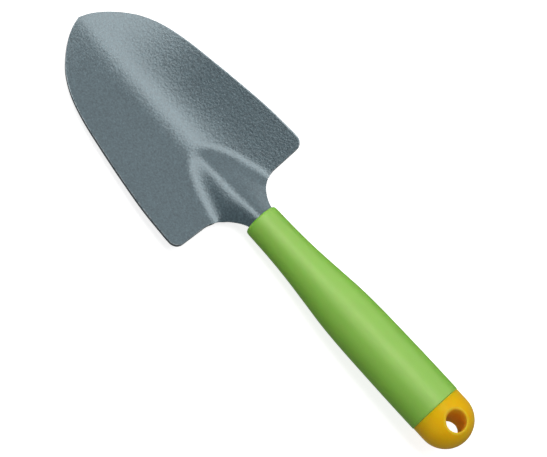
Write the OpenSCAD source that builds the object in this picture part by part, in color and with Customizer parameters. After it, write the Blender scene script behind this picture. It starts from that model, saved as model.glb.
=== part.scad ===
// Hand trowel: a pressed steel blade whose neck and tang are one piece with it,
// a hard plastic handle core moulded on the tang, and a grip sleeve moulded over the core.
// Lengths in the shape functions run from the tail of the handle (x = 0) to the tip of the
// blade, with the handle's axis on z = 0. The finished part lies on its back on z = 0.

/* [Blade] */
// Width of the blade at its shoulders
blade_w = 90; // [84:0.5:96]
// Length of the blade from its tip to the rear edge of its shoulders
blade_len = 128.5; // [122:0.5:134]
// Thickness of the sheet steel
sheet_t = 2; // [1.6:0.1:2.2]
// Slope of the flanks of the scoop, as a ratio
flank_slope = 0.26; // [0.22:0.01:0.3]
// Radius of the rounded keel of the scoop
keel_r = 64; // [50:2:80]
// Radius of the shoulder corners
corner_r = 5; // [4:0.5:6]

/* [Neck] */
// Width of the neck where it enters the grip
neck_w = 16.6; // [15.6:0.2:17.4]
// Height of the neck's crest above the handle's axis
crest_h = 4.6; // [3.6:0.2:5.2]
// Slope of the neck's flanks where it enters the grip, as a ratio
neck_slope = 0.5; // [0.4:0.05:0.6]
// Radius of the rounded crest of the stamped ridge
crest_r = 6; // [5:0.5:8]
// Distance from the rear edge of the shoulders to the front of the stamped ridge
ridge_len = 32; // [29:1:35]

/* [Tang] */
// Width of the tang inside the handle
tang_w = 13; // [11:0.5:14]
// How far the tang reaches into the handle
tang_len = 60; // [45:1:75]

/* [Handle] */
// Length of the grip sleeve
grip_len = 133.5; // [128:0.5:138]
// Diameter of the grip at its rear
grip_rear_d = 30.6; // [29:0.2:32]
// Diameter of the grip at its front
grip_front_d = 19.8; // [19:0.2:21]
// Length of the bare end of the core, behind the grip
end_len = 22.5; // [20:0.5:25]
// Step between the grip's surface and the bare end
end_step = 0.25; // [0.1:0.05:0.5]
// Rounding of the grip's front edge
front_round = 1.4; // [0.8:0.1:1.8]

/* [Hanging hole] */
// Diameter of the hanging hole
hole_d = 11; // [9:0.5:12]
// Distance from the tail of the handle to the axis of the hole
hole_from_tail = 10.5; // [9.5:0.25:12]

/* [Hidden] */

blade_color = [0.41, 0.47, 0.50];
grip_color = [0.50, 0.72, 0.28];
core_color = [0.86, 0.68, 0.10];

front_x = end_len + grip_len;         // front face of the grip
rear_x = front_x + 15.5;              // rear edge of the shoulders
tip_x = rear_x + blade_len;           // tip of the blade
grip_rear_r = grip_rear_d / 2;
grip_front_r = grip_front_d / 2;
end_r = grip_rear_r - end_step;
front_wall = 4;                       // thickness of the sleeve's closed front
core_front_x = front_x - front_wall;
core_front_r = 8.6;                   // core radius under the slim front of the grip
core_rear_r = 12.4;                   // core radius under the full rear of the grip

// The trowel rests on its keel and on the underside of its grip, so its axis dips to the front.
rest_tilt = 4.4;

// smooth step from 0 at a to 1 at b
function ease(a, b, x) = let (t = min(1, max(0, (x - a) / (b - a)))) t * t * (3 - 2 * t);
// Catmull-Rom value of a table of [x, y] rows at x, with evenly treated neighbours
function seg(tab, x, i = 0) = i >= len(tab) - 2 || x < tab[i + 1][0] ? i : seg(tab, x, i + 1);
function slope_at(tab, i) = i == 0 ? (tab[1][1] - tab[0][1]) / (tab[1][0] - tab[0][0])
    : i == len(tab) - 1 ? (tab[i][1] - tab[i - 1][1]) / (tab[i][0] - tab[i - 1][0])
    : (tab[i + 1][1] - tab[i - 1][1]) / (tab[i + 1][0] - tab[i - 1][0]);
function curve(tab, x) = let (i = seg(tab, x), a = tab[i], b = tab[i + 1], h = b[0] - a[0],
    t = min(1, max(0, (x - a[0]) / h)), m0 = slope_at(tab, i) * h, m1 = slope_at(tab, i + 1) * h)
    a[1] * (1 + 2 * t) * (1 - t) * (1 - t) + m0 * t * (1 - t) * (1 - t)
    + b[1] * t * t * (3 - 2 * t) - m1 * t * t * (1 - t);

// ---- blade ------------------------------------------------------------------------------
// half-width of the blade against the distance from its tip, for a 90 mm blade
half_width = [[0, 0], [2, 5.6], [6, 12.2], [12, 19.2], [20, 26], [31, 31.6], [45, 35.6],
              [62, 38.6], [82, 41.6], [102, 44], [120, 45]];
function side_w(x) = blade_w / 90 * curve(half_width, tip_x - x);
neck_half = neck_w / 2;
tang_half = tang_w / 2;
// Points of the edge, from the tip along the side, round the shoulder and down the neck.
side_steps = [0, 0.7, 2, 4, 6.5, 9.5, 13, 17, 21.5, 26.5, 32, 38, 44, 50, 56, 62, 68, 74, 80,
              86, 92, 97, 102, 106.5, 110.5, 114, 117, 120];
edge_side = [for (q = side_steps) if (q < blade_len - corner_r - 2) [tip_x - q, side_w(tip_x - q)]];
shoulder_w = side_w(rear_x + corner_r);
edge_corner = [for (a = [10:20:90]) [rear_x + corner_r - corner_r * sin(a),
                                     shoulder_w - corner_r + corner_r * cos(a)]];
edge_rear = [for (y = [shoulder_w - corner_r - 3.5:-3.6:25]) [rear_x, y]];
edge_notch = [[rear_x - 0.2, 22.6], [rear_x - 1.2, 19.6], [rear_x - 2.8, 16.8],
              [rear_x - 5, 14.2], [rear_x - 7.8, 11.9], [rear_x - 10.8, 10],
              [rear_x - 13.4, neck_half + 0.5], [front_x + 0.6, neck_half]];
edge_tang = [[front_x - 1, neck_half - 0.5], [front_x - 2.4, tang_half + 0.5],
             [core_front_x, tang_half], [front_x - 16, tang_half], [front_x - 30, tang_half],
             [front_x - 45, tang_half], [front_x - tang_len + 3, tang_half],
             [front_x - tang_len, tang_half - 2]];
edge = concat(edge_side, edge_corner, edge_rear, edge_notch, edge_tang);
// Where each row of points crosses the centre line; the rows fan out round the shoulders.
n_side = len(edge_side);
n_fan = len(edge_corner) + len(edge_rear) + 5;
fan_x0 = edge_side[n_side - 1][0] + 8;
fan_x1 = edge_notch[4][0];
function spine_x(i) = let (e = edge[i][0])
    i < n_side ? e + 8 * ease(fan_x0 + 30, fan_x0 - 8, e)
    : i < n_side + n_fan ? fan_x0 + (fan_x1 - fan_x0) * (i - n_side + 1) / n_fan
    : e;

// Height of the rim above the handle's axis: it rises gently towards the tip.
function rim_z(x) = 3.6 + 3 * ease(rear_x - 10, tip_x + 20, x);
// Slope of the flanks: the scoop flattens towards the tip.
function slope_k(x) = flank_slope * (0.24 + 0.76 * ease(tip_x + 6, tip_x - 72, x));
function dish(k, y) = let (c = keel_r * k * k) sqrt(c * c + k * k * y * y) - c;
function scoop_z(x, y) = let (xx = max(x, rear_x + 4))
    rim_z(xx) - dish(slope_k(xx), side_w(xx)) + dish(slope_k(xx), y);
// Stamped ridge: its crest rises out of the keel, against the distance behind its front,
// as a share of the height from the keel to the crest of the neck.
ridge_x = rear_x + ridge_len;
floor_z = scoop_z(ridge_x, 0);
rise = [[-8, -0.45], [0, 0], [4.3, 0.155], [12.4, 0.325], [20.3, 0.43], [28.2, 0.565],
        [38, 0.785], [49, 1], [60, 1]];
function crest_z(x) = (x > ridge_x ? scoop_z(x, 0) : floor_z)
    + (crest_h - floor_z) * curve(rise, max(ridge_x - x, -8));
function lean(x) = 0.32 + (neck_slope - 0.32) * ease(rear_x + 6, front_x, x);
function ridge_z(x, y) = let (r = crest_r * (1 - 0.3 * ease(rear_x + 10, ridge_x, x)))
    crest_z(x) - lean(x) * (sqrt(r * r + y * y) - r);
// rounded maximum, with blending radius r
function smax(a, b, r) = let (h = max(0, r - abs(a - b)) / r) max(a, b) + h * h * r / 4;
function top_z(x, y) = x > ridge_x + 8 ? scoop_z(x, y)
    : smax(scoop_z(x, y) - 14 * ease(rear_x - 1, rear_x - 12, x), ridge_z(x, y), 2.8);

// columns across half the sheet, closer together near the middle
n_col = 14;
function across(j) = sign(j) * pow(abs(j) / n_col, 1.25);
function sheet_pt(i, j, down) = let (t = across(j), e = edge[i], sx = spine_x(i),
    x = sx + (e[0] - sx) * pow(abs(t), 1.15), y = t * e[1], z = top_z(x, y),
    g = (top_z(x, y + 0.3) - top_z(x, y - 0.3)) / 0.6)
    [x, y, z - down * sheet_t * min(1.5, sqrt(1 + g * g))];

// A closed sheet between two rows of the edge list.
module sheet(i0, i1) {
    cols = 2 * n_col + 1;
    start = i0 == 0 ? 1 : i0;
    rows = i1 - start + 1;
    half = rows * cols;
    tip = i0 == 0;
    top = [for (i = [start:i1]) for (j = [-n_col:n_col]) sheet_pt(i, j, 0)];
    bottom = [for (i = [start:i1]) for (j = [-n_col:n_col]) sheet_pt(i, j, 1)];
    tips = tip ? [[tip_x, 0, top_z(tip_x, 0)], [tip_x, 0, top_z(tip_x, 0) - sheet_t]] : [];
    pts = concat(top, bottom, tips);
    function at(r, c) = r * cols + c;
    skin = concat(
        [for (r = [0:rows - 2]) for (c = [0:cols - 2]) each
            c < n_col ? [[at(r, c), at(r, c + 1), at(r + 1, c + 1)], [at(r, c), at(r + 1, c + 1), at(r + 1, c)]]
                      : [[at(r, c), at(r, c + 1), at(r + 1, c)], [at(r, c + 1), at(r + 1, c + 1), at(r + 1, c)]]],
        [for (r = [0:rows - 2]) for (c = [0:cols - 2]) each
            c < n_col ? [[half + at(r, c), half + at(r + 1, c + 1), half + at(r, c + 1)], [half + at(r, c), half + at(r + 1, c), half + at(r + 1, c + 1)]]
                      : [[half + at(r, c), half + at(r + 1, c), half + at(r, c + 1)], [half + at(r, c + 1), half + at(r + 1, c), half + at(r + 1, c + 1)]]],
        [for (r = [0:rows - 2]) each
            [[at(r, 0), at(r + 1, 0), half + at(r + 1, 0)], [at(r, 0), half + at(r + 1, 0), half + at(r, 0)]]],
        [for (r = [0:rows - 2]) let (c = cols - 1) each
            [[at(r, c), half + at(r + 1, c), at(r + 1, c)], [at(r, c), half + at(r, c), half + at(r + 1, c)]]],
        [for (c = [0:cols - 2]) let (r = rows - 1) each
            [[at(r, c), at(r, c + 1), half + at(r, c + 1)], [at(r, c), half + at(r, c + 1), half + at(r, c)]]],
        tip ? concat(
            [for (c = [0:cols - 2]) [2 * half, at(0, c + 1), at(0, c)]],
            [for (c = [0:cols - 2]) [2 * half + 1, half + at(0, c), half + at(0, c + 1)]],
            [[2 * half, at(0, 0), half + at(0, 0)], [2 * half, half + at(0, 0), 2 * half + 1]],
            [[2 * half, half + at(0, cols - 1), at(0, cols - 1)],
             [2 * half, 2 * half + 1, half + at(0, cols - 1)]])
        : [for (c = [0:cols - 2]) each
            [[at(0, c), half + at(0, c + 1), at(0, c + 1)], [at(0, c), half + at(0, c), half + at(0, c + 1)]]]);
    polyhedron(points = pts, faces = [for (f = skin) [f[2], f[1], f[0]]], convexity = 10);
}

// ---- handle -----------------------------------------------------------------------------
// radius of the grip against the distance from its rear, as a share of the step from
// the front radius to the rear radius
swell = [[0, 1], [18, 1], [38, 0.965], [56, 0.905], [71, 0.77], [86, 0.5], [102, 0.225],
         [117, 0.075], [140, 0]];
function grip_r(q) = grip_front_r + (grip_rear_r - grip_front_r) * curve(swell, q);
grip_profile = concat(
    [for (a = [0:15:90]) let (r = 0.5) [grip_r(0) - r + r * sin(a), end_len + r - r * cos(a)]],
    [for (q = [3:4:grip_len - front_round - 2]) [grip_r(q), end_len + q]],
    [for (a = [0:15:90]) [grip_front_r - front_round + front_round * cos(a),
                          front_x - front_round + front_round * sin(a)]]);

// turns the handle's own axis from Z to X
module along_x() { rotate([0, 90, 0]) children(); }

// the laid position of everything
lay_x = -(tip_x * cos(rest_tilt)) / 2;
lay_z = grip_rear_r + 6.48;
module laid() { translate([lay_x, 0, lay_z]) rotate([0, rest_tilt, 0]) children(); }

// first row of the edge list that lies in the grip's mouth, with one row to spare
mouth_row = len(edge) - len(edge_tang) - 1;

module blade() {
    color(blade_color) laid() sheet(0, len(edge) - 1);
}

module handle_core() {
    color(core_color) laid() difference() {
        union() {
            along_x() translate([0, 0, 0]) rotate_extrude($fn = 96) polygon(concat(
                [for (a = [0:6:90]) [end_r * sin(a), end_r - end_r * cos(a)]],
                [[end_r, end_len], [core_rear_r, end_len], [core_rear_r, front_x - 70],
                 [core_front_r, front_x - 44], [core_front_r, core_front_x], [0, core_front_x]]));
        }
        translate([hole_from_tail, 0, -grip_rear_r - 5])
            cylinder(h = grip_rear_d + 10, d = hole_d, $fn = 64);
        sheet(mouth_row, len(edge) - 1);
    }
}

module grip_sleeve() {
    color(grip_color) laid() difference() {
        along_x() rotate_extrude($fn = 96) polygon(concat(
            grip_profile,
            [[0, front_x], [0, core_front_x], [core_front_r, core_front_x],
             [core_front_r, front_x - 44], [core_rear_r, front_x - 70], [core_rear_r, end_len]]));
        sheet(mouth_row, len(edge) - 1);
    }
}

blade();
handle_core();
grip_sleeve();
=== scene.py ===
import math

import bmesh
import bpy
from mathutils import Matrix, Vector
from mathutils.kdtree import KDTree


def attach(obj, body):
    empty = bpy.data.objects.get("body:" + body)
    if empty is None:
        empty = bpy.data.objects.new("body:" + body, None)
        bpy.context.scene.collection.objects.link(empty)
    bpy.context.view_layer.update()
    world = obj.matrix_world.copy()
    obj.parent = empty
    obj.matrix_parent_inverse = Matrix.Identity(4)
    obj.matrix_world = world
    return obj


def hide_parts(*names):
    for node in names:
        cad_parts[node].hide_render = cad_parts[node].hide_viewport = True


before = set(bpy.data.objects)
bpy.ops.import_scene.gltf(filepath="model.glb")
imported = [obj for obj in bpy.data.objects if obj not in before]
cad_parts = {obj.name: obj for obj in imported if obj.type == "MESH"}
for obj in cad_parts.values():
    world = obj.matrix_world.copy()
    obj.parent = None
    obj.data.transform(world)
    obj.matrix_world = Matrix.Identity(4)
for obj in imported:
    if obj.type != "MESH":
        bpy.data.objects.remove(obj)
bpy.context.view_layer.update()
MM = 0.001

# ------------------------------------------------------------------------------------------
# The same shape functions as the CAD, in millimetres along the handle's axis:
# x = 0 at the tail, the axis on z = 0.
BLADE_W, BLADE_LEN, SHEET = 90.0, 128.5, 2.0
FLANK, KEEL_R, CORNER = 0.26, 64.0, 5.0
NECK_W, CREST_H, NECK_SLOPE, CREST_R, RIDGE_LEN = 16.6, 4.6, 0.5, 6.0, 32.0
TANG_W, TANG_LEN = 13.0, 60.0
GRIP_LEN, REAR_D, FRONT_D, END_LEN, STEP, ROUND = 133.5, 30.6, 19.8, 22.5, 0.25, 1.4
HOLE_D, HOLE_X = 11.0, 10.5
FRONT_X = END_LEN + GRIP_LEN
REAR_X = FRONT_X + 15.5
TIP_X = REAR_X + BLADE_LEN
TILT = math.radians(4.4)
LAY_X = -(TIP_X * math.cos(TILT)) / 2
LAY_Z = REAR_D / 2 + 6.48


def lay(x, y, z):
    """A point of the handle's frame, in mm, to the row's frame, in metres."""
    c, s = math.cos(TILT), math.sin(TILT)
    return ((LAY_X + x * c + z * s) * MM, y * MM, (LAY_Z - x * s + z * c) * MM)


def unlay(co):
    """The reverse of lay: a vertex in metres to the handle's frame in mm."""
    c, s = math.cos(TILT), math.sin(TILT)
    a, b = co.x / MM - LAY_X, co.z / MM - LAY_Z
    return a * c - b * s, co.y / MM, a * s + b * c


def ease(a, b, x):
    t = min(1.0, max(0.0, (x - a) / (b - a)))
    return t * t * (3 - 2 * t)


def slope_at(tab, i):
    n = len(tab)
    if i == 0:
        return (tab[1][1] - tab[0][1]) / (tab[1][0] - tab[0][0])
    if i == n - 1:
        return (tab[i][1] - tab[i - 1][1]) / (tab[i][0] - tab[i - 1][0])
    return (tab[i + 1][1] - tab[i - 1][1]) / (tab[i + 1][0] - tab[i - 1][0])


def curve(tab, x):
    i = 0
    while i < len(tab) - 2 and x >= tab[i + 1][0]:
        i += 1
    a, b = tab[i], tab[i + 1]
    h = b[0] - a[0]
    t = min(1.0, max(0.0, (x - a[0]) / h))
    m0, m1 = slope_at(tab, i) * h, slope_at(tab, i + 1) * h
    return (a[1] * (1 + 2 * t) * (1 - t) ** 2 + m0 * t * (1 - t) ** 2
            + b[1] * t * t * (3 - 2 * t) - m1 * t * t * (1 - t))


HALF_WIDTH = [[0, 0], [2, 5.6], [6, 12.2], [12, 19.2], [20, 26], [31, 31.6], [45, 35.6],
              [62, 38.6], [82, 41.6], [102, 44], [120, 45]]


def side_w(x):
    return BLADE_W / 90 * curve(HALF_WIDTH, TIP_X - x)


def rim_z(x):
    return 3.6 + 3 * ease(REAR_X - 10, TIP_X + 20, x)


def slope_k(x):
    return FLANK * (0.24 + 0.76 * ease(TIP_X + 6, TIP_X - 72, x))


def dish(k, y):
    c = KEEL_R * k * k
    return math.sqrt(c * c + k * k * y * y) - c


def scoop_z(x, y):
    xx = max(x, REAR_X + 4)
    k = slope_k(xx)
    return rim_z(xx) - dish(k, side_w(xx)) + dish(k, y)


RIDGE_X = REAR_X + RIDGE_LEN
FLOOR_Z = scoop_z(RIDGE_X, 0)
RISE = [[-8, -0.45], [0, 0], [4.3, 0.155], [12.4, 0.325], [20.3, 0.43], [28.2, 0.565],
        [38, 0.785], [49, 1], [60, 1]]


def crest_z(x):
    return (scoop_z(x, 0) if x > RIDGE_X else FLOOR_Z) \
        + (CREST_H - FLOOR_Z) * curve(RISE, max(RIDGE_X - x, -8))


def lean(x):
    return 0.32 + (NECK_SLOPE - 0.32) * ease(REAR_X + 6, FRONT_X, x)


def smax(a, b, r):
    h = max(0.0, r - abs(a - b)) / r
    return max(a, b) + h * h * r / 4


def ridge_z(x, y):
    r = CREST_R * (1 - 0.3 * ease(REAR_X + 10, RIDGE_X, x))
    return crest_z(x) - lean(x) * (math.sqrt(r * r + y * y) - r)


def top_z(x, y):
    if x > RIDGE_X + 8:
        return scoop_z(x, y)
    return smax(scoop_z(x, y) - 14 * ease(REAR_X - 1, REAR_X - 12, x), ridge_z(x, y), 2.8)


# ------------------------------------------------------------------------------------------
def spline(pts, step):
    """Catmull-Rom through 2-D points, sampled about every step millimetres."""
    out = []
    for i in range(len(pts) - 1):
        p0, p1 = pts[max(0, i - 1)], pts[i]
        p2, p3 = pts[i + 1], pts[min(len(pts) - 1, i + 2)]
        n = max(1, int(round(math.dist(p1, p2) / step)))
        for k in range(n):
            t = k / n
            out.append([0.5 * (2 * p1[d] + (p2[d] - p0[d]) * t
                               + (2 * p0[d] - 5 * p1[d] + 4 * p2[d] - p3[d]) * t * t
                               + (3 * p1[d] - p0[d] - 3 * p2[d] + p3[d]) * t ** 3) for d in (0, 1)])
    out.append(list(pts[-1]))
    return out


def new_object(name, bm, smooth=True):
    me = bpy.data.meshes.new(name)
    bm.normal_update()
    bm.to_mesh(me)
    bm.free()
    ob = bpy.data.objects.new(name, me)
    bpy.context.scene.collection.objects.link(ob)
    if smooth:
        me.shade_smooth()
    return ob


def apply_modifiers(ob):
    dg = bpy.context.evaluated_depsgraph_get()
    me = bpy.data.meshes.new_from_object(ob.evaluated_get(dg))
    old = ob.data
    ob.modifiers.clear()
    ob.data = me
    me.name = old.name
    bpy.data.meshes.remove(old)


def mark(ob, name, weight):
    """A value per vertex, for the material: weight(x, y, z) in the handle's frame."""
    me = ob.data
    at = me.attributes.new(name, "FLOAT", "POINT")
    at.data.foreach_set("value", [weight(*unlay(v.co)) for v in me.vertices])


# ---- blade -------------------------------------------------------------------------------
def blade_piece():
    # outline from the tip round to the end of the tang
    side = []
    q = 0.0
    while q < BLADE_LEN - CORNER - 0.6:
        side.append([TIP_X - q, side_w(TIP_X - q)])
        q += 0.18 if q < 1.2 else 0.45 if q < 4 else 0.8
    sw = side_w(REAR_X + CORNER)
    corner = [[REAR_X + CORNER - CORNER * math.sin(math.radians(a)),
               sw - CORNER + CORNER * math.cos(math.radians(a))] for a in range(5, 91, 8)]
    notch = spline([[REAR_X, sw - CORNER], [REAR_X, 32], [REAR_X, 25.5], [REAR_X - 0.2, 22.6],
                    [REAR_X - 1.2, 19.6], [REAR_X - 2.8, 16.8], [REAR_X - 5, 14.2],
                    [REAR_X - 7.8, 11.9], [REAR_X - 10.8, 10], [REAR_X - 13.4, NECK_W / 2 + 0.5],
                    [FRONT_X + 0.6, NECK_W / 2]], 0.8)[1:]
    tang = [[FRONT_X - 1, NECK_W / 2 - 0.5], [FRONT_X - 2.4, TANG_W / 2 + 0.5],
            [FRONT_X - 4, TANG_W / 2], [FRONT_X - 10, TANG_W / 2], [FRONT_X - 18, TANG_W / 2],
            [FRONT_X - 30, TANG_W / 2], [FRONT_X - 45, TANG_W / 2],
            [FRONT_X - TANG_LEN + 3, TANG_W / 2], [FRONT_X - TANG_LEN, TANG_W / 2 - 2]]
    edge = side + corner + notch + tang
    n_side, n_fan = len(side), len(corner) + len(notch) - 10
    fan0, fan1 = side[-1][0] + 8, edge[n_side + n_fan - 1][0]
    spine = []
    for i, e in enumerate(edge):
        if i < n_side:
            spine.append(e[0] + 8 * ease(fan0 + 30, fan0 - 8, e[0]))
        elif i < n_side + n_fan:
            spine.append(fan0 + (fan1 - fan0) * (i - n_side + 1) / n_fan)
        else:
            spine.append(e[0])
    n = 50
    bm = bmesh.new()
    rows = []
    for i, e in enumerate(edge):
        row = []
        for j in range(-n, n + 1):
            t = math.copysign((abs(j) / n) ** 1.12, j)
            if i == 0:
                if j == -n:
                    v0 = bm.verts.new(lay(TIP_X, 0, top_z(TIP_X, 0)))
                row.append(v0)
                continue
            x = spine[i] + (e[0] - spine[i]) * abs(t) ** 1.15
            y = t * e[1]
            row.append(bm.verts.new(lay(x, y, top_z(x, y))))
        rows.append(row)
    for a, b in zip(rows, rows[1:]):
        for j in range(2 * n):
            f = [a[j], a[j + 1], b[j + 1], b[j]]
            f = [v for k, v in enumerate(f) if v not in f[:k]]
            if len(f) > 2:
                bm.faces.new(f)
    # faces run so that their normals look up, out of the scoop
    bm.normal_update()
    if sum(f.normal.z for f in bm.faces) < 0:
        bmesh.ops.reverse_faces(bm, faces=bm.faces[:])
    ob = new_object("blade_sheet", bm)
    so = ob.modifiers.new("sheet", "SOLIDIFY")
    so.thickness, so.offset, so.use_even_offset = SHEET * MM, -1.0, True
    be = ob.modifiers.new("edges", "BEVEL")
    be.width, be.segments, be.limit_method, be.angle_limit = 0.42 * MM, 3, "ANGLE", math.radians(50)
    be.use_clamp_overlap = True
    apply_modifiers(ob)
    ob.data.shade_smooth()
    # how close each vertex is to the rim, where the paint wears
    rim = edge[:n_side + len(corner) + len(notch)]
    tree = KDTree(4 * len(rim))
    k = 0
    for (x0, y0), (x1, y1) in zip(rim, rim[1:]):
        for t in (0, 0.5):
            for sgn in (1, -1):
                tree.insert((x0 + (x1 - x0) * t, sgn * (y0 + (y1 - y0) * t), 0), k)
                k += 1
    tree.balance()
    mark(ob, "rim", lambda x, y, z: math.exp(-tree.find((x, y, 0))[2] / 0.9))
    return ob


# ---- lathe helper -------------------------------------------------------------------------
def ring(bm, x, r, n):
    return [bm.verts.new(lay(x, r * math.cos(2 * math.pi * k / n), r * math.sin(2 * math.pi * k / n)))
            for k in range(n)]


def bridge(bm, a, b):
    n = len(a)
    for k in range(n):
        bm.faces.new([a[k], a[(k + 1) % n], b[(k + 1) % n], b[k]])


def fan(bm, c, a, flip=False):
    n = len(a)
    for k in range(n):
        f = [c, a[k], a[(k + 1) % n]]
        bm.faces.new(f[::-1] if flip else f)


SWELL = [[0, 1], [18, 1], [38, 0.965], [56, 0.905], [71, 0.77], [86, 0.5], [102, 0.225],
         [117, 0.075], [140, 0]]


def grip_r(q):
    return FRONT_D / 2 + (REAR_D - FRONT_D) / 2 * curve(SWELL, q)


def grip_piece():
    n = 128
    prof = []
    for a in range(0, 91, 15):
        r = 0.5
        prof.append((END_LEN + r - r * math.cos(math.radians(a)), grip_r(0) - r + r * math.sin(math.radians(a))))
    q = 1.0
    while q < GRIP_LEN - ROUND - 0.6:
        prof.append((END_LEN + q, grip_r(q)))
        q += 1.0
    for a in range(0, 91, 9):
        prof.append((FRONT_X - ROUND + ROUND * math.sin(math.radians(a)),
                     FRONT_D / 2 - ROUND + ROUND * math.cos(math.radians(a))))
    inner = [(END_LEN, 13.6), (END_LEN, 12.4), (FRONT_X - 70, 12.4), (FRONT_X - 44, 8.6), (FRONT_X - 4, 8.6)]
    bm = bmesh.new()
    rings = [ring(bm, x, r, n) for x, r in prof]
    for a, b in zip(rings, rings[1:]):
        bridge(bm, a, b)
    face = ring(bm, FRONT_X, FRONT_D / 2 - ROUND - 2.5, n)
    bridge(bm, rings[-1], face)
    fan(bm, bm.verts.new(lay(FRONT_X, 0, 0)), face)
    back = [ring(bm, x, r, n) for x, r in inner]
    bridge(bm, back[0], rings[0])
    for a, b in zip(back, back[1:]):
        bridge(bm, b, a)
    fan(bm, bm.verts.new(lay(FRONT_X - 4, 0, 0)), back[-1], True)
    bmesh.ops.recalc_face_normals(bm, faces=bm.faces[:])
    ob = new_object("grip_cover", bm)
    # its rear lip and its front shoulder, where it rubs
    mark(ob, "rim", lambda x, y, z: max(math.exp(-abs(x - END_LEN) / 0.7),
                                        math.exp(-abs(x - FRONT_X + 0.4) / 0.9)))
    return ob


# ---- handle core with its hanging hole ----------------------------------------------------
def core_piece():
    R = REAR_D / 2 - STEP
    n = 96
    stations = [(R - R * math.cos(math.radians(a)), R * math.sin(math.radians(a))) for a in range(5, 91, 5)]
    stations += [(17.3, R), (19.6, R), (21.6, R)]
    stations += [(END_LEN - 0.4 + 0.4 * math.sin(math.radians(a)), R - 0.4 + 0.4 * math.cos(math.radians(a)))
                 for a in (0, 30, 60, 90)]
    stations += [(END_LEN, 13.6), (END_LEN, 12.4), (40, 12.4), (60, 12.4), (FRONT_X - 70, 12.4),
                 (FRONT_X - 44, 8.6), (FRONT_X - 25, 8.6), (FRONT_X - 4, 8.6)]
    i0, i1 = 4, 19                # rows that bound the patch round the hole: 25 degrees to x = 19.6
    half = 12                     # columns each side of the top, 45 degrees
    bm = bmesh.new()
    rings = [ring(bm, x, r, n) for x, r in stations]
    top, bot = n // 4, 3 * n // 4
    skip = set()
    for i in range(i0, i1):
        for c in (top, bot):
            for k in range(c - half, c + half):
                skip.add((i, k % n))
    for i in range(len(rings) - 1):
        for k in range(n):
            if (i, k) not in skip:
                bm.faces.new([rings[i][k], rings[i][(k + 1) % n], rings[i + 1][(k + 1) % n], rings[i + 1][k]])
    fan(bm, bm.verts.new(lay(0, 0, 0)), rings[0], True)
    fan(bm, bm.verts.new(lay(FRONT_X - 4, 0, 0)), rings[-1])
    for i in range(i0 + 1, i1):                      # verts inside the two patches
        for c in (top, bot):
            for k in range(c - half + 1, c + half):
                bm.verts.remove(rings[i][k % n])
                rings[i][k % n] = None

    def surf(x, y):
        r = math.sqrt(max(0.0, R * R - (R - x) ** 2)) if x < R else R
        return math.sqrt(max(0.0, r * r - y * y))

    r0, wf = HOLE_D / 2, 1.7
    walls = []
    for c, sgn in ((top, 1), (bot, -1)):
        loop = [(i0, k) for k in range(c - half, c + half)] + [(i, c + half) for i in range(i0, i1)] \
            + [(i1, k) for k in range(c + half, c - half, -1)] + [(i, c - half) for i in range(i1, i0, -1)]
        outer, plan = [], []
        for i, k in loop:
            outer.append(rings[i][k % n])
            x, r = stations[i]
            plan.append((x, r * math.cos(2 * math.pi * k / n)))
        m = len(outer)
        prev = outer
        steps = 7
        for s in range(1, steps + 1):               # from the patch's edge in to the fillet
            lam = 1 - s / steps
            cur = []
            for (px, py) in plan:
                a = math.atan2(py, px - HOLE_X)
                cx, cy = HOLE_X + (r0 + wf) * math.cos(a), (r0 + wf) * math.sin(a)
                x, y = cx + (px - cx) * lam, cy + (py - cy) * lam
                cur.append(bm.verts.new(lay(x, y, sgn * surf(x, y))))
            for j in range(m):
                f = [prev[j], prev[(j + 1) % m], cur[(j + 1) % m], cur[j]]
                bm.faces.new(f)
            prev = cur
        angles = [math.atan2(py, px - HOLE_X) for px, py in plan]
        ends = []
        for a in angles:                            # rounded rim, as a Bezier from surface to wall
            ca, sa = math.cos(a), math.sin(a)
            z0 = surf(HOLE_X + (r0 + wf) * ca, (r0 + wf) * sa)
            dz = (surf(HOLE_X + (r0 + wf + 0.1) * ca, (r0 + wf + 0.1) * sa) - z0) / 0.1
            z1 = z0 - dz * wf
            ends.append((z0, z1, z1 - 1.9))
        for t in (0.17, 0.34, 0.5, 0.66, 0.83, 1.0):
            cur = []
            for a, (z0, z1, z2) in zip(angles, ends):
                rho = (1 - t) ** 2 * (r0 + wf) + 2 * t * (1 - t) * r0 + t * t * r0
                z = (1 - t) ** 2 * z0 + 2 * t * (1 - t) * z1 + t * t * z2
                cur.append(bm.verts.new(lay(HOLE_X + rho * math.cos(a), rho * math.sin(a), sgn * z)))
            for j in range(m):
                bm.faces.new([prev[j], prev[(j + 1) % m], cur[(j + 1) % m], cur[j]])
            prev = cur
        walls.append((prev, angles, [e[2] for e in ends]))
    # the bore's wall: the two rims run in opposite senses, so match them by their angle
    (wt, at, zt), (wb, ab, zb) = walls
    match = [min(range(len(ab)), key=lambda j: 1 - math.cos(ab[j] - a)) for a in at]
    prev = wt
    for s in range(1, 7):
        lam = s / 6
        if s < 6:
            cur = [bm.verts.new(lay(HOLE_X + r0 * math.cos(a), r0 * math.sin(a),
                                    zt[j] * (1 - lam) - zb[match[j]] * lam)) for j, a in enumerate(at)]
        else:
            cur = [wb[match[j]] for j in range(len(at))]
        m = len(cur)
        for j in range(m):
            bm.faces.new([prev[j], prev[(j + 1) % m], cur[(j + 1) % m], cur[j]])
        prev = cur
    bmesh.ops.recalc_face_normals(bm, faces=bm.faces[:])
    ob = new_object("core_moulding", bm)
    # the wall of the hole, where the colour is painted lighter to lift its shade and the finish is rougher, and
    # its rounded rim
    mark(ob, "bore", lambda x, y, z: ease(r0 + 1.3, r0 + 0.1, math.hypot(x - HOLE_X, y)))
    mark(ob, "rim", lambda x, y, z: max(math.exp(-((math.hypot(x - HOLE_X, y) - r0 - 1.0) / 0.8) ** 2),
                                        math.exp(-abs(x - END_LEN) / 0.6)))
    return ob


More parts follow.
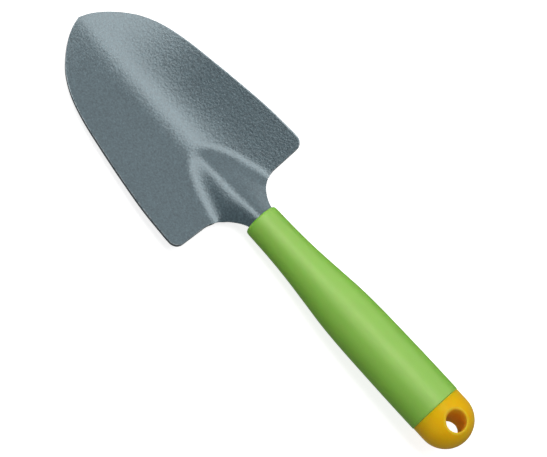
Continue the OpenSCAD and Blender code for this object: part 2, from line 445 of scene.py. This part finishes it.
# ------------------------------------------------------------------------------------------
# Materials. Every coordinate is the object's own, in metres.
def material(name):
    m = bpy.data.materials.new(name)
    m.use_nodes = True
    nt = m.node_tree
    nt.nodes.clear()
    out = nt.nodes.new("ShaderNodeOutputMaterial")
    b = nt.nodes.new("ShaderNodeBsdfPrincipled")
    nt.links.new(b.outputs[0], out.inputs[0])
    return m, nt, b


def node(nt, kind, **kw):
    nd = nt.nodes.new(kind)
    for k, v in kw.items():
        setattr(nd, k, v)
    return nd


def noise(nt, co, scale, detail=2.0, rough=0.5, dist=0.0):
    nd = node(nt, "ShaderNodeTexNoise")
    nd.inputs["Scale"].default_value = scale
    nd.inputs["Detail"].default_value = detail
    nd.inputs["Roughness"].default_value = rough
    nd.inputs["Distortion"].default_value = dist
    nt.links.new(co, nd.inputs["Vector"])
    return nd.outputs["Fac"]


def ramp(nt, fac, stops):
    nd = node(nt, "ShaderNodeValToRGB")
    els = nd.color_ramp.elements
    while len(els) < len(stops):
        els.new(0.5)
    for e, (pos, col) in zip(els, stops):
        e.position = pos
        e.color = (*col, 1) if len(col) == 3 else col
    nt.links.new(fac, nd.inputs[0])
    return nd.outputs["Color"]


def maths(nt, op, a, b=None, clamp=False):
    nd = node(nt, "ShaderNodeMath", operation=op, use_clamp=clamp)
    for s, v in zip(nd.inputs, (a, b)):
        if v is None:
            continue
        if isinstance(v, (int, float)):
            s.default_value = v
        else:
            nt.links.new(v, s)
    return nd.outputs[0]


def mix(nt, fac, a, b, mode="MIX"):
    nd = node(nt, "ShaderNodeMix", data_type="RGBA", blend_type=mode)
    for s, v in zip((nd.inputs[0], nd.inputs[6], nd.inputs[7]), (fac, a, b)):
        if isinstance(v, (int, float)):
            s.default_value = v
        elif isinstance(v, tuple):
            s.default_value = (*v, 1) if len(v) == 3 else v
        else:
            nt.links.new(v, s)
    return nd.outputs[2]


def bump(nt, height, dist, strength, normal=None):
    nd = node(nt, "ShaderNodeBump")
    nd.inputs["Distance"].default_value = dist
    nd.inputs["Strength"].default_value = strength
    nt.links.new(height, nd.inputs["Height"])
    if normal is not None:
        nt.links.new(normal, nd.inputs["Normal"])
    return nd.outputs[0]


def wear(nt, co, amount, lo, hi, scale):
    """A broken mask along the marked rim: noise eats into it, so it comes in spots and streaks."""
    rim = node(nt, "ShaderNodeAttribute", attribute_name="rim").outputs["Fac"]
    n1 = noise(nt, co, scale, 5.0, 0.65, 0.3)
    m = maths(nt, "MULTIPLY", rim, maths(nt, "MULTIPLY", n1, 2.0))
    mr = node(nt, "ShaderNodeMapRange", interpolation_type="SMOOTHSTEP")
    nt.links.new(m, mr.inputs["Value"])
    for k, v in (("From Min", lo), ("From Max", hi), ("To Min", 0.0), ("To Max", amount)):
        mr.inputs[k].default_value = v
    return mr.outputs["Result"]


def blade_material():
    m, nt, b = material("blade_paint")
    co = node(nt, "ShaderNodeTexCoord").outputs["Object"]
    # hammered-effect paint: a fine, slightly drawn-out grain of dimples, with flecks and pits
    warp = node(nt, "ShaderNodeTexNoise")
    warp.inputs["Scale"].default_value = 500
    nt.links.new(co, warp.inputs["Vector"])
    add = node(nt, "ShaderNodeVectorMath", operation="MULTIPLY_ADD")
    nt.links.new(warp.outputs["Color"], add.inputs[0])
    add.inputs[1].default_value = (0.0012, 0.0012, 0.0012)
    nt.links.new(co, add.inputs[2])
    vor = node(nt, "ShaderNodeTexVoronoi", feature="SMOOTH_F1")
    vor.inputs["Scale"].default_value = 760
    vor.inputs["Smoothness"].default_value = 0.6
    nt.links.new(add.outputs[0], vor.inputs["Vector"])
    cells = vor.outputs["Distance"]
    grain = noise(nt, co, 1050, 3.0, 0.62)
    broad = noise(nt, co, 45, 3.0, 0.55)
    col = ramp(nt, broad, [(0.3, (0.055, 0.091, 0.110)), (0.7, (0.063, 0.102, 0.122))])
    fleck = ramp(nt, grain, [(0.34, (0.62, 0.63, 0.66)), (0.5, (1.0, 1.0, 1.0)), (0.66, (1.36, 1.35, 1.33))])
    col = mix(nt, 0.9, col, fleck, "MULTIPLY")
    pud = ramp(nt, cells, [(0.12, (1.12, 1.12, 1.12)), (0.75, (0.78, 0.79, 0.80))])
    col = mix(nt, 0.7, col, pud, "MULTIPLY")
    bare = wear(nt, co, 0.6, 0.66, 1.05, 420)
    col = mix(nt, bare, col, (0.24, 0.26, 0.27))
    nt.links.new(col, b.inputs["Base Color"])
    metal = maths(nt, "MULTIPLY_ADD", bare, 0.6)
    metal.node.inputs[2].default_value = 0.2
    nt.links.new(metal, b.inputs["Metallic"])
    b.inputs["IOR"].default_value = 1.7
    b.inputs["Specular IOR Level"].default_value = 0.66
    b.inputs["Specular Tint"].default_value = (0.92, 0.99, 1.0, 1)
    rg = maths(nt, "MULTIPLY_ADD", grain, 0.1)
    rg.node.inputs[2].default_value = 0.2
    nt.links.new(maths(nt, "ADD", rg, maths(nt, "MULTIPLY", bare, 0.08)), b.inputs["Roughness"])
    h = maths(nt, "MULTIPLY_ADD", cells, 0.8)
    nt.links.new(maths(nt, "MULTIPLY", grain, 0.8), h.node.inputs[2])
    n1 = bump(nt, h, 0.00022, 0.22)
    n2 = bump(nt, bare, 0.00005, 0.6, n1)
    n2.node.invert = True
    nt.links.new(n2, b.inputs["Normal"])
    return m


def grip_material():
    m, nt, b = material("grip_plastic")
    co = node(nt, "ShaderNodeTexCoord").outputs["Object"]
    broad = noise(nt, co, 38, 2.0, 0.5)
    fine = noise(nt, co, 2600, 2.0, 0.5)
    col = ramp(nt, broad, [(0.3, (0.148, 0.424, 0.008)), (0.7, (0.164, 0.448, 0.012))])
    rub = wear(nt, co, 0.55, 0.5, 1.0, 300)
    col = mix(nt, rub, col, (0.30, 0.62, 0.10))
    nt.links.new(col, b.inputs["Base Color"])
    sc = noise(nt, co, 220, 4.0, 0.6, 0.4)
    rg = maths(nt, "MULTIPLY_ADD", sc, 0.14)
    rg.node.inputs[2].default_value = 0.44
    nt.links.new(maths(nt, "ADD", rg, maths(nt, "MULTIPLY", rub, 0.2)), b.inputs["Roughness"])
    b.inputs["IOR"].default_value = 1.9
    b.inputs["Specular IOR Level"].default_value = 0.72
    b.inputs["Specular Tint"].default_value = (1.0, 0.96, 0.66, 1)
    b.inputs["Subsurface Weight"].default_value = 0.6
    b.inputs["Subsurface Radius"].default_value = (0.4, 1.0, 0.12)
    b.inputs["Subsurface Scale"].default_value = 0.009
    n1 = bump(nt, fine, 0.00002, 0.35)
    n2 = bump(nt, broad, 0.0004, 0.12, n1)
    nt.links.new(n2, b.inputs["Normal"])
    return m


def core_material():
    m, nt, b = material("core_plastic")
    co = node(nt, "ShaderNodeTexCoord").outputs["Object"]
    broad = noise(nt, co, 60, 2.0, 0.5)
    fine = noise(nt, co, 2200, 2.0, 0.5)
    col = ramp(nt, broad, [(0.3, (0.93, 0.525, 0.003)), (0.7, (0.96, 0.55, 0.005))])
    # the wall of the hole is mixed to a lighter, paler yellow: painted light that lifts the shade inside the
    # hole
    bore = node(nt, "ShaderNodeAttribute", attribute_name="bore").outputs["Fac"]
    col = mix(nt, bore, col, (0.97, 0.56, 0.03))
    rub = wear(nt, co, 0.5, 0.5, 1.0, 320)
    col = mix(nt, rub, col, (0.88, 0.60, 0.06))
    nt.links.new(col, b.inputs["Base Color"])
    sc = noise(nt, co, 260, 4.0, 0.6, 0.4)
    rg = maths(nt, "MULTIPLY_ADD", sc, 0.12)
    rg.node.inputs[2].default_value = 0.33
    rg = maths(nt, "ADD", rg, maths(nt, "MULTIPLY", rub, 0.2))
    nt.links.new(maths(nt, "ADD", rg, maths(nt, "MULTIPLY", bore, 0.4)), b.inputs["Roughness"])
    b.inputs["Specular IOR Level"].default_value = 0.26
    b.inputs["Specular Tint"].default_value = (1.0, 0.85, 0.35, 1)
    b.inputs["Subsurface Weight"].default_value = 0.5
    b.inputs["Subsurface Radius"].default_value = (1.0, 0.3, 0.03)
    b.inputs["Subsurface Scale"].default_value = 0.008
    nt.links.new(bump(nt, fine, 0.00002, 0.35), b.inputs["Normal"])
    return m


# ------------------------------------------------------------------------------------------
blade = blade_piece()
blade.data.materials.append(blade_material())
grip = grip_piece()
grip.data.materials.append(grip_material())
core = core_piece()
core.data.materials.append(core_material())
for piece, nd, slot in ((blade, "blade", "painted_steel"), (grip, "grip_sleeve", "grip_plastic"),
                        (core, "handle_core", "core_plastic")):
    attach(piece, "root")
    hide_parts(nd)

# ---- floor --------------------------------------------------------------------------------
bm = bmesh.new()
n = 24
half = 3.0
grid = [[bm.verts.new((-half + 2 * half * i / n, -half + 2 * half * j / n, 0)) for j in range(n + 1)]
        for i in range(n + 1)]
for i in range(n):
    for j in range(n):
        bm.faces.new([grid[i][j], grid[i + 1][j], grid[i + 1][j + 1], grid[i][j + 1]])
floor = new_object("floor", bm)
fm, nt, b = material("floor_paper")
b.inputs["Base Color"].default_value = (0.74, 0.74, 0.74, 1)
b.inputs["Roughness"].default_value = 0.9
b.inputs["Specular IOR Level"].default_value = 0.1
b.inputs["Emission Color"].default_value = (1, 1, 1, 1)
b.inputs["Emission Strength"].default_value = 0.76
floor.data.materials.append(fm)
floor.visible_glossy = False
floor.visible_diffuse = False

# ---- camera: the photograph's view --------------------------------------------------------
TH, AL, RHO = math.radians(47.286628), math.radians(8.307838), math.radians(17.450063)
F_PX, TX, TY, TZ = 2000.0, -2.9907, -0.6075, 1039.83
dd = Vector((math.cos(TH), math.sin(TH), 0))
ee = Vector((dd.y, -dd.x, 0))
zc = Vector((0, 0, -1))
A = dd * math.cos(AL) + zc * math.sin(AL)
N0 = -dd * math.sin(AL) + zc * math.cos(AL)
Zo = N0 * math.cos(RHO) + ee * math.sin(RHO)
Xo = -A
Yo = Zo.cross(Xo)
M = Matrix(((Xo.x, Yo.x, Zo.x), (Xo.y, Yo.y, Zo.y), (Xo.z, Yo.z, Zo.z)))   # handle frame -> camera (x right, y down, z ahead)
centre = Vector((150, 0, 0)) - M.transposed() @ Vector((TX, TY, TZ))
tilt = Matrix.Rotation(TILT, 3, "Y")
rot = tilt @ M.transposed() @ Matrix(((1, 0, 0), (0, -1, 0), (0, 0, -1)))
cam = bpy.data.objects.new("camera", bpy.data.cameras.new("camera"))
bpy.context.scene.collection.objects.link(cam)
cam.data.sensor_width = 36
cam.data.lens = F_PX * 36 / 547
cam.data.clip_start, cam.data.clip_end = 0.05, 20
cam.matrix_world = Matrix.Translation(Vector(lay(*centre))) @ rot.to_4x4()
bpy.context.scene.camera = cam


# ---- light --------------------------------------------------------------------------------
# Directions are in the camera's own picture: "across" is at right angles to the tool's length,
# positive to the upper right; "along" runs down the tool to its tail.
ACROSS = Vector((0.7385, 0.6742, 0))
ALONG = Vector((0.6742, -0.7385, 0))


def softbox(name, across, along, dist, wide, tall, power, onto=None):
    """A rectangle of light seen from the tool at these angles, in degrees, off the camera's axis.
    onto lists the pieces that it is flagged to reach, as a photographer screens a lamp."""
    a, l = math.radians(across), math.radians(along)
    v = (ACROSS * math.sin(a) + ALONG * math.sin(l) + Vector((0, 0, 1)) * math.cos(a) * math.cos(l)).normalized()
    w = (rot @ v).normalized()
    y = rot @ ALONG
    x = y.cross(w).normalized()
    y = w.cross(x).normalized()
    li = bpy.data.lights.new(name, "AREA")
    li.shape, li.size, li.size_y, li.energy = "RECTANGLE", wide, tall, power
    ob = bpy.data.objects.new(name, li)
    bpy.context.scene.collection.objects.link(ob)
    m = Matrix((x, y, w)).transposed().to_4x4()
    ob.matrix_world = Matrix.Translation(Vector((0.02, 0, 0.01)) + w * dist) @ m
    if onto:
        reach = bpy.data.collections.new(name + "_reach")
        for piece in onto:
            reach.objects.link(piece)
        ob.light_linking.receiver_collection = reach
    return ob


softbox("key", 27.5, -14, 1.5, 0.5, 2.2, 15)
softbox("side", 63, -10, 1.6, 1.0, 2.2, 6.5)
softbox("kicker", 92, -6, 1.6, 0.8, 2.0, 7, [blade, grip, floor])
softbox("fill", -52, -8, 1.6, 1.0, 2.0, 3.2)
softbox("grip_strip", -4, -14, 1.6, 0.5, 2.0, 6.5, [grip])
world = bpy.data.worlds.new("studio")
world.use_nodes = True
world.node_tree.nodes["Background"].inputs[0].default_value = (1, 1, 1, 1)
world.node_tree.nodes["Background"].inputs[1].default_value = 0.22
bpy.context.scene.world = world
bpy.context.scene.view_settings.view_transform = "Standard"
